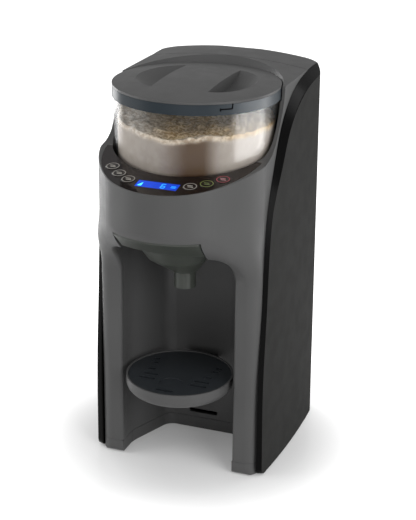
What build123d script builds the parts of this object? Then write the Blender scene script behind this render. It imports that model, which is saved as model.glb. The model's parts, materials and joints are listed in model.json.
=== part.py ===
from build123d import *
import math
import os

# Baby formula maker: a powder hopper over a mixing funnel, a bottle bay below and a water tank behind.
# Millimetres. +Z up, the front looks along -Y, and the origin is at the centre of the footprint.

# ---------------------------------------------------------------- driving dimensions
DEPTH = 231.0  # whole body, front to back
HALF_D = DEPTH / 2
CORE_W = 77.5  # half width of the grey core
SIDE_W = 88.0  # half width over the dark side shells at the floor
TOP_W = 84.8  # and at the top deck
SIDE_GAP = 0.3  # shadow gap between core and side shell
WALL = 2.8  # moulded wall of the housing
CROWN_Z = 364.0  # top deck at the centre line
DECK_EDGE_Z = 357.0  # top deck at its sides
FOOT_H = 1.2  # rubber pads lift the housing by this much
BASE_Z = 13.0  # parting line of the floor moulding

HOPPER_Y = -4.5  # vertical axis of the hopper, lid and drive
HOPPER_R = 74.0
WELL_R = 74.6  # bore that the hopper stands in
LID_R = 75.0
RECESS_R = 75.8  # wider mouth of the well, round the lid
RECESS_Z = 344.0
FLARE_Z = 356.8  # above this the mouth flares out to the deck
FLARE = 0.75  # growth of its radius per mm of height
RIM_Z = 351.0  # solid rim under the flare
RIM_WALL = 8.0
WELL_FLOOR_Z = 262.0
WELL_WALL = 2.2
WELL_SKIRT_Z = 254.0  # lower edge of the well's wall
LID_Z = 357.6  # rim of the lid's top face
SKIRT_H = 11.5

NOSE_R = 66.5  # front arc of the fascia in plan
NOSE_Y = NOSE_R - HALF_D  # its centre
NOSE_ANGLE = 48.0  # half angle of that arc
NOSE_SIDE = (CORE_W, -42.0)  # where the flank becomes straight

PANEL_SLOPE = 0.18  # rise of the control panel per mm of depth
PANEL_Y = -79.5
PANEL_Z = 292.5  # height of the panel at PANEL_Y
PANEL_T = 6.8  # moulding under the panel, lens included
LENS_T = 2.4
LENS_R = 65.3  # outer arc of the lens, about the nose's centre
LENS_ANGLE = 50.0
LENS_TIP = (72.6, -37.0)
LENS_INNER_R = 74.9  # inner arc, about the hopper
BOARD_DROP = 12.4  # from the panel's face to the control board
BOARD_POSTS = ((0, -86.0), (-60.0, -62.0), (60.0, -62.0))
LCD_Y = -97.3
LCD_SIZE = (37.6, 11.3)
BUTTON_R = 6.35
BUTTONS = {
    "outer_left": (-50.65, -74.6),
    "mid_left": (-40.0, -85.4),
    "inner_left": (-28.1, -93.4),
    "inner_right": (28.1, -93.4),
    "mid_right": (40.0, -85.4),
    "outer_right": (50.65, -74.6),
}

FASCIA_Z = 243.0  # lower edge of the fascia above the funnel
PILLAR_FRONT = -51.5
PILLAR_FLAT = 66.0  # half width of the flat front of the pillars
PILLAR_BACK = -30.0
PILLAR_RETURN = 8.2  # depth of the pillars' inner faces
BLEND_TOP = 250.0  # from here down the fascia runs back
BLEND_LOW = 188.0  # to the front of the pillars
BLEND_STEPS = 10
BLEND_WALL = 1.3 * WALL  # wall of the sloping part, measured along Y
PILLAR_WALL = BLEND_WALL + 0.4

BAY_W = 54.7  # half width of the bottle bay
BAY_BACK = 20.5
ROOF_Z = 222.0
ROOF_R = 13.0
BAY_ROUND = 2.6
SLOT_W = 40.5  # half width of the slot that the funnel slides into

LINER = 2.4  # wall of the bay liner
BOX_Z = 244.0  # ceiling of the funnel's slot
BOX_FRONT = -112.0
BOX_BACK = -5.5
RUNNER_Z = 239.0
TONGUE_W = 14.0  # half width of the tray's tongue
TONGUE_T = 3.2
WATER_XY = (22.0, -46.0)  # where the water drips into the funnel
FLOOR_T = 2.6
TOE_BEVEL = 2.2

REAR_R = 22.0  # rear corners in plan
BEVEL = 8.0  # glossy bevel on the front and top of the side shells
BEVEL_X = 6.5
RAIL_ZS = (60, 150, 240)  # clip rails inside the side shells

NOZZLE_Y = -31.5  # axis of the funnel's spout and of the bottle
OUTLET_Y = -54.5  # powder outlet
TRAY_Y = -43.5
TRAY_R = 49.5
TRAY_Z = 91.5
SLOT_ZS = (20.0, 50.0, 82.0)  # the heights at which the tray can be plugged in

SEAM_Y = 77.9  # joint between front housing and tank lid
TANK_FLOOR = 40.2
TANK_TOP = 338.0

GEAR_M = 1.0  # gear module
GEAR_N = 60
PINION_N = 20
GEAR_Z = 249.5
GEAR_T = 6.0
MOTOR_Y = HOPPER_Y + GEAR_M * (GEAR_N + PINION_N) / 2

TRAY_LOW = 76.3  # underside of the drip tray
TRAY_ROUND = 9.0  # rounding of its lower edge
GRILLE_Z = 88.6
GRILLE_SLOTS = (
    (0, -82.0, 17.0), (25.0, -63.0, 17.0), (25.0, -54.0, 16.0), (28.0, -43.5, 8.0), (30.0, -30.0, 7.0),
    (31.0, -22.0, 6.5), (-25.0, -63.0, 17.0), (-25.0, -54.0, 16.0), (-28.0, -43.5, 8.0), (-30.0, -30.0, 7.0),
    (-31.0, -22.0, 6.5),
)  # x, y, length
DISH_Y = -66.0  # dish in the grille that centres the bottle
DISH_R = 11.0

CHUTE_R = 9.0
DRIVE_BORE = 8.0
GEAR_HUB_R = 7.6
DOG = 9.0  # square dog on the drive gear's hub
AXLE_R = 3.0
SHAFT_R = 1.5
PLATE_Z = 246.4  # mechanism plate
PLATE_T = 2.0
WHEEL_HUB_R = 11.0
WHEEL_R = 67.5
WHEEL_Z = 267.3
WHEEL_T = 6.5
SPIGOT = 7.05  # ring of the hopper base that the clear wall slips over
POCKETS = 8
POCKET_R = 9.0
HOPPER_IN_R = 70.8
HOPPER_TOP = 352.0
LID_RISE = 5.0  # dome of the lid
LID_WALL = 2.2
COLLAR_LOW = 349.0  # lower edge of the collar that plugs into the hopper
GRIP_X = 26.0  # half width of the lid's grip bar
GRIP_AXIS_Z = 399.5  # the finger recesses are pressed by barrels that lie over the lid
GRIP_R = 48.5  # radius of the barrel at its belly
GRIP_ARC = 100.5  # radius of the belly itself
GRIP_HALF = 56.0

WING_W = 39.4
WING_TOP = 241.2
FUNNEL_WALL = 1.8
NOZZLE_R = 10.0
NOZZLE_Z = 174.0
CONE = ((190.0, -31.5, 12.7), (209.5, -49.5, 27.3), (226.5, -58.0, 34.0))  # z, y, radius

TANK_W = 73.9
TANK_FRONT = 80.6
TANK_WALL = 2.2
OUTFLOW = (0, 95.0)  # tank outlet in plan
LEDGE_Z = 40.0  # floor that the tank stands on
INLET_X = 45.0
INLET_Z = 24.0

FLOOR_TOP = FOOT_H + FLOOR_T
PUMP_XY = (-45.0, 50.0)
HEATER_XY = (45.0, 50.0)
FEED_Z = 76.0
TUBE_R = 3.2
SCREWS = ((-66, 22), (66, 22), (-45, 104), (45, 104))

BIG = 400.0  # larger than the whole object


def save(part, name):
    part.label = name
    export_step(part, f"parts/{name}.step")


def panel_z(y):
    return PANEL_Z + PANEL_SLOPE * (y - PANEL_Y)


def panel_plane(x, y, lift=0.0):
    """Plane that lies in the control panel's top face, with its origin over the plan point x, y."""
    normal = Vector(0, -PANEL_SLOPE, 1).normalized()
    origin = Vector(x, y, panel_z(y)) + normal * lift
    return Plane(origin=origin, x_dir=(1, 0, 0), z_dir=normal)


# ---------------------------------------------------------------- shared outlines
def core_plan(inset=0.0, back=SEAM_Y - 0.4):
    """Plan of the grey core: a round nose, swept flanks and straight sides."""
    a = math.radians(NOSE_ANGLE)
    px = NOSE_R * math.sin(a)
    py = NOSE_Y - NOSE_R * math.cos(a)
    with BuildSketch() as plan:
        with BuildLine():
            nose = ThreePointArc((-px, py), (0, -HALF_D), (px, py))
            right = TangentArc((px, py), NOSE_SIDE, tangent=nose % 1)
            mirror(right, about=Plane.YZ)
            Polyline(NOSE_SIDE, (CORE_W, back), (-CORE_W, back), (-CORE_W, NOSE_SIDE[1]))
        make_face()
        if inset:
            offset(amount=-inset, kind=Kind.INTERSECTION)
    return plan.sketch


def core_section(z, inset=0.0, back=SEAM_Y - 0.4):
    """Section of the grey core at z, on the way from the round nose to the flat pillars."""
    u = (BLEND_TOP - z) / (BLEND_TOP - BLEND_LOW)
    share = u * u * (3 - 2 * u)
    a = math.radians(NOSE_ANGLE)
    nose_x = NOSE_R * math.sin(a)
    nose_y = NOSE_Y - NOSE_R * math.cos(a)
    px = nose_x + (PILLAR_FLAT - nose_x) * share
    py = nose_y + (PILLAR_FRONT + 0.2 - nose_y) * share + inset
    front = -HALF_D + (PILLAR_FRONT + HALF_D) * share + inset
    side = (CORE_W - inset * WALL / BLEND_WALL, NOSE_SIDE[1])
    with BuildSketch(Plane.XY.offset(z)) as section:
        with BuildLine():
            middle = ThreePointArc((-px, py), (0, front), (px, py))
            right = TangentArc((px, py), side, tangent=middle % 1)
            mirror(right, about=Plane.YZ)
            Polyline(side, (side[0], back), (-side[0], back), (-side[0], side[1]))
        make_face()
    return section.sketch


def core_blend(inset=0.0, back=SEAM_Y - 0.4):
    """The part of the grey core in which the fascia runs back into the pillars."""
    with BuildPart(mode=Mode.PRIVATE) as blend:
        sections = []
        for i in range(BLEND_STEPS + 1):
            z = BLEND_LOW + (BLEND_TOP - BLEND_LOW) * i / BLEND_STEPS
            sections.append(core_section(z, inset, back).face())
        loft(sections)
    return blend.part


def body_plan(half_width=SIDE_W, inset=0.0):
    """Plan of the rear body over the side shells: bowed sides and round rear corners."""
    w = half_width - inset
    back = HALF_D - inset
    with BuildSketch() as plan:
        with BuildLine():
            for s in (-1, 1):
                ThreePointArc((s * (w - 6.0), -55.0), (s * w, 36.0), (s * (w - 1.6), back))
            Line((1.6 - w, back), (w - 1.6, back))
            Line((6.0 - w, -55.0), (w - 6.0, -55.0))
        make_face()
        fillet(plan.vertices().group_by(Axis.Y)[-1], radius=REAR_R - inset)
    return plan.sketch


def body_solid(inset=0.0, bottom=FOOT_H, top=360.0):
    """The rear body as a solid that narrows towards the top deck."""
    def width(z):
        return SIDE_W + (TOP_W - SIDE_W) * z / CROWN_Z

    with BuildPart(mode=Mode.PRIVATE) as body:
        with BuildSketch(Plane.XY.offset(bottom)):
            add(body_plan(width(bottom), inset))
        with BuildSketch(Plane.XY.offset(top)):
            add(body_plan(width(top), inset))
        loft(ruled=True)
    return body.part


def lens_plan(grow=0.0, inner=LENS_INNER_R):
    """Crescent of the control panel in plan, between the hopper and the rim of the nose."""
    a = math.radians(LENS_ANGLE)
    px = LENS_R * math.sin(a)
    py = NOSE_Y - LENS_R * math.cos(a)
    with BuildSketch() as plan:
        with BuildLine():
            front = ThreePointArc((-px, py), (0, NOSE_Y - LENS_R), (px, py))
            right = TangentArc((px, py), LENS_TIP, tangent=front % 1)
            mirror(right, about=Plane.YZ)
            Line(LENS_TIP, (-LENS_TIP[0], LENS_TIP[1]))
        make_face()
        with Locations((0, HOPPER_Y)):
            Circle(inner, mode=Mode.SUBTRACT)
        fillet(plan.vertices().group_by(Axis.Y)[-1], radius=1.2)
        if grow:
            offset(amount=grow)
    return plan.sketch


def panel_slab(plan, top, bottom):
    """The plan cut out of the slab that lies between two depths under the panel's face."""
    with BuildPart(mode=Mode.PRIVATE) as slab:
        with BuildSketch(Plane.XY.offset(PANEL_Z - 60)):
            add(plan)
        extrude(amount=120)
        with BuildSketch(panel_plane(0, PANEL_Y, -bottom)):
            Rectangle(BIG, BIG)
        extrude(amount=bottom - top, mode=Mode.INTERSECT)
    return slab.part


def core_side(bottom=BLEND_TOP):
    """Side outline of the grey core, drawn in the YZ plane."""
    with BuildSketch(Plane.YZ.offset(-BIG / 2)) as side:
        with BuildLine():
            sweep_start = (-34.0, panel_z(-34.0))
            Polyline((140, bottom), (-140, bottom), (-140, panel_z(-140)), sweep_start)
            Spline(
                sweep_start, (-13.5, 312.0), (-2.0, 328.0), (8.5, 352.0),
                tangents=[(1, PANEL_SLOPE), (0.15, 1)],
            )
            deck_front = (9.5, 357.0)
            Line((8.5, 352.0), deck_front)
            Spline(deck_front, (60, CROWN_Z - 1.0), (110, CROWN_Z), (140, CROWN_Z - 4))
            Line((140, CROWN_Z - 4), (140, bottom))
        make_face()
    return side.sketch


def crown_front(drop=0.0):
    """Front outline that crowns the top deck from side to side, drawn in the XZ plane."""
    with BuildSketch(Plane.XZ.offset(-BIG / 2)) as front:
        with BuildLine():
            top = DECK_EDGE_Z - drop
            ThreePointArc((-CORE_W - 14, top - 2.6), (0, CROWN_Z - drop), (CORE_W + 14, top - 2.6))
            Polyline((CORE_W + 14, top - 2.6), (CORE_W + 14, 0), (-CORE_W - 14, 0), (-CORE_W - 14, top - 2.6))
        make_face()
    return front.sketch


def side_profile(inset=0.0, x=0.0):
    """Side outline of a dark shell in the YZ plane at x; inset moves its front and top inwards."""
    with BuildSketch(Plane.YZ.offset(x)) as side:
        with BuildLine():
            knee = (-36.5 + inset * 0.5, 242.0)
            low = inset * 0.3
            Spline(
                (-48.5 + low, 0), (-48.0 + low, 100.0), (-42.5 + low, 165.0), knee,
                tangents=[(0, 1), (0.18, 1)],
            )
            Spline(
                knee, (-17.5 + inset * 0.95, 292.0 - inset * 0.3), (0 + inset * 0.8, 323.0 - inset * 0.6),
                (20.5 + inset * 0.6, 341.0 - inset * 0.85), (46.5 + inset * 0.3, 352.0 - inset),
                (90.0, 357.0 - inset), (140, 357.0 - inset),
                tangents=[(0.18, 1), (1, 0)],
            )
            Polyline((140, 357.0 - inset), (140, 0), (-48.5 + low, 0))
        make_face()
        toe = side.vertices().sort_by(lambda v: v.Y + v.Z)[0]
        fillet(toe, radius=9.0)
    return side.sketch


def bay_plan(grow=0.0):
    """Plan of the bottle bay: open to the front, narrowing to a flat back."""
    with BuildSketch() as plan:
        with BuildLine():
            Polyline(
                (-BAY_W, -140), (-BAY_W, -28), (-36, BAY_BACK), (36, BAY_BACK),
                (BAY_W, -28), (BAY_W, -140), close=True,
            )
        make_face()
        fillet(plan.vertices().filter_by(lambda v: abs(v.Y - BAY_BACK) < 1), radius=12.0)
        fillet(plan.vertices().filter_by(lambda v: abs(v.Y + 28) < 1), radius=40.0)
        if grow:
            offset(amount=grow)
    return plan.sketch


def bay_arch(grow=0.0):
    """Front outline of the bottle bay, with round upper corners."""
    with BuildSketch(Plane.XZ.offset(-BAY_BACK - 6)) as arch:
        with Locations((0, (ROOF_Z + grow) / 2 - 20)):
            Rectangle(2 * (BAY_W + grow), ROOF_Z + grow + 40)
        fillet(arch.vertices().group_by(Axis.Z)[-1], radius=ROOF_R + grow)
    return arch.sketch


def pillar_plan(inset=0.0):
    """Plan of one pillar on the right: a flat front with a well rounded outer edge."""
    with BuildSketch() as plan:
        add(core_section(BLEND_LOW, inset).moved(Location((0, 0, -BLEND_LOW))))
        with Locations((BAY_W + inset, PILLAR_BACK - inset)):
            Rectangle(BIG, BIG, align=(Align.MIN, Align.MAX), mode=Mode.INTERSECT)
    return plan.sketch


def both_sides(sketch):
    """The sketch together with its mirror image in the YZ plane."""
    return sketch + mirror(sketch, about=Plane.YZ)


def cylinder_at(x, y, z, radius, height):
    """A vertical cylinder that stands on z, kept out of the current part."""
    with BuildSketch(Plane.XY.offset(z), mode=Mode.PRIVATE) as disc:
        with Locations((x, y)):
            Circle(radius)
    return extrude(disc.sketch, amount=height, mode=Mode.PRIVATE)


def spur_gear(x, y, teeth, start_angle):
    """Spur gear with straight-sided teeth, standing on GEAR_Z."""
    pitch = GEAR_M * teeth / 2
    with BuildPart(mode=Mode.PRIVATE) as gear:
        with BuildSketch(Plane.XY.offset(GEAR_Z)) as section:
            with Locations((x, y)):
                Circle(pitch - 1.25 * GEAR_M)
            with BuildSketch(mode=Mode.PRIVATE) as tooth:
                with BuildLine():
                    half = Polyline(
                        (pitch - 1.6, 0), (pitch - 1.6, 1.15), (pitch, 0.67), (pitch + 0.9, 0.35), (pitch + 0.9, 0)
                    )
                    mirror(half, about=Plane.XZ)
                make_face()
            with Locations((x, y)):
                with PolarLocations(0, teeth, start_angle=start_angle):
                    add(tooth.sketch)
        extrude(amount=GEAR_T)
    return gear.part


def tube(points, bend, outer):
    """Solid water tube along the points with round bends."""
    with BuildPart(mode=Mode.PRIVATE) as pipe:
        with BuildLine() as path:
            FilletPolyline(*points, radius=bend)
        with BuildSketch(Plane(origin=path.line @ 0, z_dir=path.line % 0)):
            Circle(outer)
        sweep(path=path.line)
    return pipe.part


os.makedirs("parts", exist_ok=True)

# ---------------------------------------------------------------- front housing
with BuildPart() as front_housing:
    with BuildSketch(Plane.XY.offset(BLEND_TOP)):
        add(core_plan())
    extrude(amount=CROWN_Z + 20 - BLEND_TOP)
    extrude(core_side(), amount=BIG, mode=Mode.INTERSECT)
    extrude(crown_front(), amount=BIG, mode=Mode.INTERSECT)

    # round the shoulder where the panel and the arms meet the flanks
    shoulder = front_housing.edges().filter_by(
        lambda e: panel_z(-116) - 1 < e.center().Z < 297 and e.center().Y < -35
    )
    fillet(shoulder, radius=1.0)

    # below it the fascia runs back into the pillars
    add(core_blend())
    with BuildSketch(Plane.XY.offset(BASE_Z)):
        add(both_sides(pillar_plan()))
    extrude(amount=BLEND_LOW - BASE_Z)

    # bottle bay, with its front edges rounded
    extrude(bay_arch().moved(Location((0, PILLAR_BACK - BAY_BACK - 6, 0))), amount=BIG, mode=Mode.SUBTRACT)
    bay_edges = front_housing.edges().filter_by(
        lambda e: BASE_Z + 1 < e.center().Z < ROOF_Z + 0.1 and e.center().Y < PILLAR_FRONT + 0.5
        and abs(e.center().X) < BAY_W + 0.1
    )
    fillet(bay_edges.filter_by(Axis.Y, reverse=True), radius=BAY_ROUND)

    # hollow inside, open to the back and below, with the wall of the hopper well left standing
    with BuildPart(mode=Mode.PRIVATE) as cavity:
        with BuildSketch(Plane.XY.offset(BLEND_TOP)):
            add(core_section(BLEND_TOP, BLEND_WALL, back=BIG / 2).moved(Location((0, 0, -BLEND_TOP))))
        extrude(amount=CROWN_Z)
        extrude(core_side(bottom=100).moved(Location((0, 0, -WALL))), amount=BIG, mode=Mode.INTERSECT)
        extrude(crown_front(drop=WALL), amount=BIG, mode=Mode.INTERSECT)
        with BuildSketch(Plane.YZ.offset(-BIG / 2)):
            with BuildLine():
                Polyline(
                    (-150, 100), (-150, panel_z(-150) - PANEL_T), (-33, panel_z(-33) - PANEL_T),
                    (-33, BIG), (150, BIG), (150, 100), close=True,
                )
            make_face()
        extrude(amount=BIG, mode=Mode.INTERSECT)
        add(core_blend(BLEND_WALL, back=BIG / 2))
        add(cylinder_at(0, HOPPER_Y, WELL_SKIRT_Z, WELL_R + WELL_WALL, BIG), mode=Mode.SUBTRACT)
        add(cylinder_at(0, HOPPER_Y, RIM_Z, WELL_R + RIM_WALL, BIG), mode=Mode.SUBTRACT)
    add(cavity.part, mode=Mode.SUBTRACT)
    with BuildSketch(Plane.XY.offset(BASE_Z - 1)):
        add(both_sides(pillar_plan(inset=PILLAR_WALL)))
        with Locations((0, PILLAR_FRONT + PILLAR_RETURN)):
            Rectangle(2 * (CORE_W - PILLAR_WALL), BIG, align=(Align.CENTER, Align.MIN))
    extrude(amount=BLEND_LOW - BASE_Z + 1.5, mode=Mode.SUBTRACT)

    # well for the hopper: a ledge for its floor below, wider round the lid and flared to the deck
    add(cylinder_at(0, HOPPER_Y, WELL_SKIRT_Z - 1, WELL_R - 3.0, BIG), mode=Mode.SUBTRACT)
    add(cylinder_at(0, HOPPER_Y, WELL_FLOOR_Z - 2.6, WELL_R, BIG), mode=Mode.SUBTRACT)
    add(cylinder_at(0, HOPPER_Y, RECESS_Z, RECESS_R, BIG), mode=Mode.SUBTRACT)
    with BuildSketch(Plane.XZ.offset(-HOPPER_Y)):
        with BuildLine():
            Polyline(
                (0, FLARE_Z), (RECESS_R, FLARE_Z), (RECESS_R + FLARE * 20, FLARE_Z + 20), (0, FLARE_Z + 20),
                close=True,
            )
        make_face()
    revolve(axis=Axis((0, HOPPER_Y, 0), (0, 0, 1)), mode=Mode.SUBTRACT)

    # slot that the funnel slides into
    with Locations((0, -80, FASCIA_Z - 30)):
        Box(2 * SLOT_W, 100, 60, mode=Mode.SUBTRACT)

    # bed for the control panel, with holes for the buttons and the display
    add(panel_slab(lens_plan(grow=0.12, inner=WELL_R - 1), -5, LENS_T + 0.05), mode=Mode.SUBTRACT)
    for x, y in BUTTONS.values():
        with BuildSketch(panel_plane(x, y, -PANEL_T - 1)):
            Circle(BUTTON_R + 0.95)
        extrude(amount=PANEL_T, mode=Mode.SUBTRACT)
    with BuildSketch(panel_plane(0, LCD_Y, -PANEL_T - 1)):
        Rectangle(LCD_SIZE[0] + 4.6, LCD_SIZE[1] + 3.2)
    extrude(amount=PANEL_T, mode=Mode.SUBTRACT)
    for x, y in BOARD_POSTS:
        with BuildSketch(panel_plane(x, y, -BOARD_DROP)):
            Circle(2.6)
        extrude(amount=BOARD_DROP - PANEL_T + 0.5)
save(front_housing.part, "front_housing")

# ---------------------------------------------------------------- bottle bay
with BuildPart() as bay_liner:
    with BuildSketch(Plane.XY.offset(BASE_Z + 0.2)):
        add(bay_plan(grow=LINER))
    extrude(amount=ROOF_Z + LINER - BASE_Z - 0.2)
    extrude(bay_arch(grow=LINER), amount=BIG, mode=Mode.INTERSECT)
    # box that the funnel slides into, above the roof
    with BuildSketch(Plane.XY.offset(ROOF_Z)):
        with Locations((0, (BOX_FRONT + BOX_BACK) / 2)):
            Rectangle(2 * (SLOT_W + LINER), BOX_BACK - BOX_FRONT + 2 * LINER)
    extrude(amount=BOX_Z + LINER - ROOF_Z)
    with BuildSketch(Plane.XY) as opening:
        add(bay_plan())
    cut = extrude(opening.sketch, amount=ROOF_Z, mode=Mode.PRIVATE)
    add(cut & extrude(bay_arch(), amount=BIG, mode=Mode.PRIVATE), mode=Mode.SUBTRACT)
    with BuildSketch(Plane.XY.offset(ROOF_Z - 5)):
        with Locations((0, (BOX_FRONT + BOX_BACK) / 2 - 10)):
            Rectangle(2 * SLOT_W, BOX_BACK - BOX_FRONT + 20)
    extrude(amount=BOX_Z - ROOF_Z + 5, mode=Mode.SUBTRACT)
    # runners that carry the funnel's flanges
    with Locations((0, (BOX_FRONT + BOX_BACK) / 2, RUNNER_Z - 1.1)):
        for side in (-1, 1):
            with Locations((side * (SLOT_W - 0.4), 0, 0)):
                Box(1.0, BOX_BACK - BOX_FRONT, 2.2)
    # keep inside the front housing and behind its pillars
    with BuildPart(mode=Mode.PRIVATE) as room:
        add(core_blend(BLEND_WALL + 0.3))
        with BuildSketch(Plane.XY):
            with Locations((0, PILLAR_FRONT + PILLAR_RETURN + 0.2)):
                Rectangle(2 * (CORE_W - WALL - 0.3), BIG, align=(Align.CENTER, Align.MIN))
        extrude(amount=BLEND_LOW)
    add(room.part, mode=Mode.INTERSECT)
    # powder and water come down through the ceiling of the box
    with Locations((0, OUTLET_Y, BOX_Z)):
        Cylinder(9.6, 12, mode=Mode.SUBTRACT)
    with Locations((*WATER_XY, BOX_Z)):
        Cylinder(3.4, 12, mode=Mode.SUBTRACT)
    # slots in the back wall that the tray plugs into
    with BuildSketch(Plane.XZ.offset(-BAY_BACK - 8)):
        for z in SLOT_ZS:
            with Locations((0, z)):
                RectangleRounded(2 * TONGUE_W + 1.0, TONGUE_T + 1.0, 1.0)
    extrude(amount=16, mode=Mode.SUBTRACT)
save(bay_liner.part, "bay_liner")

# ---------------------------------------------------------------- floor moulding
with BuildPart() as base_plate:
    with BuildSketch(Plane.XY.offset(FOOT_H)) as floor_plan:
        with Locations((0, (PILLAR_BACK + HALF_D) / 2)):
            Rectangle(2 * CORE_W, HALF_D - PILLAR_BACK)
        add(body_plan(inset=0.6), mode=Mode.INTERSECT)
        add(both_sides(pillar_plan()))
        add(bay_plan(), mode=Mode.SUBTRACT)
    extrude(amount=BASE_Z - FOOT_H - 0.2)
    # bevel along the front edge of the toes
    with BuildSketch(Plane.YZ.offset(-BIG / 2)):
        with BuildLine():
            Polyline(
                (PILLAR_FRONT - 1, FOOT_H - 1), (PILLAR_FRONT + TOE_BEVEL, FOOT_H - 1),
                (PILLAR_FRONT + TOE_BEVEL, FOOT_H), (PILLAR_FRONT, FOOT_H + TOE_BEVEL),
                (PILLAR_FRONT - 1, FOOT_H + TOE_BEVEL), close=True,
            )
        make_face()
    extrude(amount=BIG, mode=Mode.SUBTRACT)
    with BuildSketch(Plane.XY.offset(FOOT_H + FLOOR_T)):
        offset(floor_plan.sketch, amount=-WALL)
    extrude(amount=BASE_Z, mode=Mode.SUBTRACT)
    with BuildSketch(Plane.XY.offset(FOOT_H + FLOOR_T)):
        with Locations(*SCREWS):
            Circle(3.6)
    extrude(amount=7.0)
    with Locations(*((x, y, FOOT_H) for x, y in SCREWS)):
        Cylinder(3.3, 2.8, mode=Mode.SUBTRACT)
        Cylinder(1.6, 20.0, mode=Mode.SUBTRACT)
save(base_plate.part, "base_plate")

with BuildPart() as foot_pads:
    with BuildSketch():
        for side in (-1, 1):
            with Locations((side * 65.0, -39.5), (side * 62.0, 96.0)):
                Circle(8.0)
    extrude(amount=FOOT_H)
    chamfer(foot_pads.edges().group_by(Axis.Z)[0], length=0.4)
save(foot_pads.part, "foot_pads")

# ---------------------------------------------------------------- dark side shells
with BuildPart() as side_shell_right:
    x0 = CORE_W + SIDE_GAP
    inner_edge = side_profile(x=x0)
    outer_edge = side_profile(inset=BEVEL, x=x0 + BEVEL_X)
    loft([inner_edge.face(), outer_edge.face()], ruled=True)
    extrude(outer_edge, amount=12)
    add(body_solid(), mode=Mode.INTERSECT)
    # hollow towards the core
    with BuildPart(mode=Mode.PRIVATE) as hollow:
        extrude(side_profile(inset=BEVEL + 3.0, x=x0 - 1), amount=20)
        add(body_solid(inset=WALL, bottom=FOOT_H + WALL, top=350.0), mode=Mode.INTERSECT)
    add(hollow.part, mode=Mode.SUBTRACT)
    # rails that hook behind the core
    for z in RAIL_ZS:
        with Locations((x0, 32, z)):
            Box(6.8, 56, 2.0, align=(Align.MIN, Align.CENTER, Align.CENTER))
save(side_shell_right.part, "side_shell_right")
side_shell_left = mirror(side_shell_right.part, about=Plane.YZ)
save(side_shell_left, "side_shell_left")

# ---------------------------------------------------------------- control panel
with BuildPart() as control_panel:
    add(panel_slab(lens_plan(), 0, LENS_T))
    for x, y in BUTTONS.values():
        with BuildSketch(panel_plane(x, y, -BIG / 20)):
            Circle(BUTTON_R + 0.2)
        extrude(amount=BIG / 10, mode=Mode.SUBTRACT)
    with BuildSketch(panel_plane(0, LCD_Y, -BIG / 20)):
        Rectangle(LCD_SIZE[0] + 0.2, LCD_SIZE[1] + 0.2)
    extrude(amount=BIG / 10, mode=Mode.SUBTRACT)
save(control_panel.part, "control_panel")

with BuildPart() as lcd_module:
    with BuildSketch(panel_plane(0, LCD_Y, -BOARD_DROP)):
        Rectangle(LCD_SIZE[0] + 4.0, LCD_SIZE[1] + 2.6)
    extrude(amount=BOARD_DROP - LENS_T - 0.1)
    with BuildSketch(panel_plane(0, LCD_Y, -LENS_T - 0.2)):
        Rectangle(*LCD_SIZE)
    extrude(amount=LENS_T)
save(lcd_module.part, "lcd_module")

for name, (x, y) in BUTTONS.items():
    with BuildPart() as button:
        with BuildSketch(panel_plane(x, y, -LENS_T - 1.5)):
            Circle(BUTTON_R + 0.6)
        extrude(amount=1.4)
        with BuildSketch(panel_plane(x, y, -LENS_T - 0.2)):
            Circle(BUTTON_R)
        extrude(amount=LENS_T + 0.8)
        chamfer(button.edges().sort_by(Axis.Z)[-1], length=0.35)
        with BuildSketch(panel_plane(x, y, 1.0 - BOARD_DROP)):
            Circle(3.0)
        extrude(amount=BOARD_DROP - LENS_T - 2.0)
    save(button.part, f"button_{name}")

with BuildPart() as control_board:
    with BuildSketch(mode=Mode.PRIVATE) as board_plan:
        add(core_plan(inset=6.0))
        with Locations((0, -60)):
            Rectangle(2 * CORE_W, 110, align=(Align.CENTER, Align.MAX), mode=Mode.INTERSECT)
        with Locations((0, HOPPER_Y)):
            Circle(79.0, mode=Mode.SUBTRACT)
    add(panel_slab(board_plan.sketch, BOARD_DROP, BOARD_DROP + 1.6))
save(control_board.part, "control_board")

# ---------------------------------------------------------------- drive under the hopper
with BuildPart() as hopper_well:
    with BuildSketch(Plane.XY.offset(WELL_FLOOR_Z - 2.5)):
        with Locations((0, HOPPER_Y)):
            Circle(WELL_R - 0.3)
    extrude(amount=2.5)
    with BuildSketch(Plane.XY.offset(BOX_Z + LINER + 0.3)):
        with Locations((0, OUTLET_Y)):
            Circle(CHUTE_R + 2.0)
    extrude(amount=WELL_FLOOR_Z - 2.5 - (BOX_Z + LINER + 0.3))
    with BuildSketch(Plane.XY.offset(WELL_FLOOR_Z)):
        with Locations((0, OUTLET_Y)):
            Circle(CHUTE_R)
        with Locations((0, HOPPER_Y)):
            Circle(DRIVE_BORE)
    extrude(amount=-20, mode=Mode.SUBTRACT)
save(hopper_well.part, "hopper_well")

with BuildPart() as mechanism_plate:
    with BuildSketch(Plane.XY.offset(PLATE_Z)):
        with Locations((0, 13)):
            RectangleRounded(80, 74, 6)
        with Locations((0, MOTOR_Y)):
            Circle(5.0, mode=Mode.SUBTRACT)
        with Locations((-15, MOTOR_Y), (15, MOTOR_Y)):
            Circle(1.7, mode=Mode.SUBTRACT)
    extrude(amount=PLATE_T)
    with BuildSketch(Plane.XY.offset(PLATE_Z)):
        with Locations((-36, -20), (36, -20), (-30, 46), (30, 46)):
            Circle(3.5)
    extrude(amount=WELL_FLOOR_Z - 2.5 - PLATE_Z)
save(mechanism_plate.part, "mechanism_plate")

with BuildPart() as gear_axle:
    with BuildSketch(Plane.XY.offset(PLATE_Z + PLATE_T)):
        with Locations((0, HOPPER_Y)):
            Circle(AXLE_R + 2.0)
    extrude(amount=GEAR_Z - PLATE_Z - PLATE_T - 0.2)
    with BuildSketch(Plane.XY.offset(PLATE_Z + PLATE_T)):
        with Locations((0, HOPPER_Y)):
            Circle(AXLE_R)
    extrude(amount=10.0)
save(gear_axle.part, "gear_axle")

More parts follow.
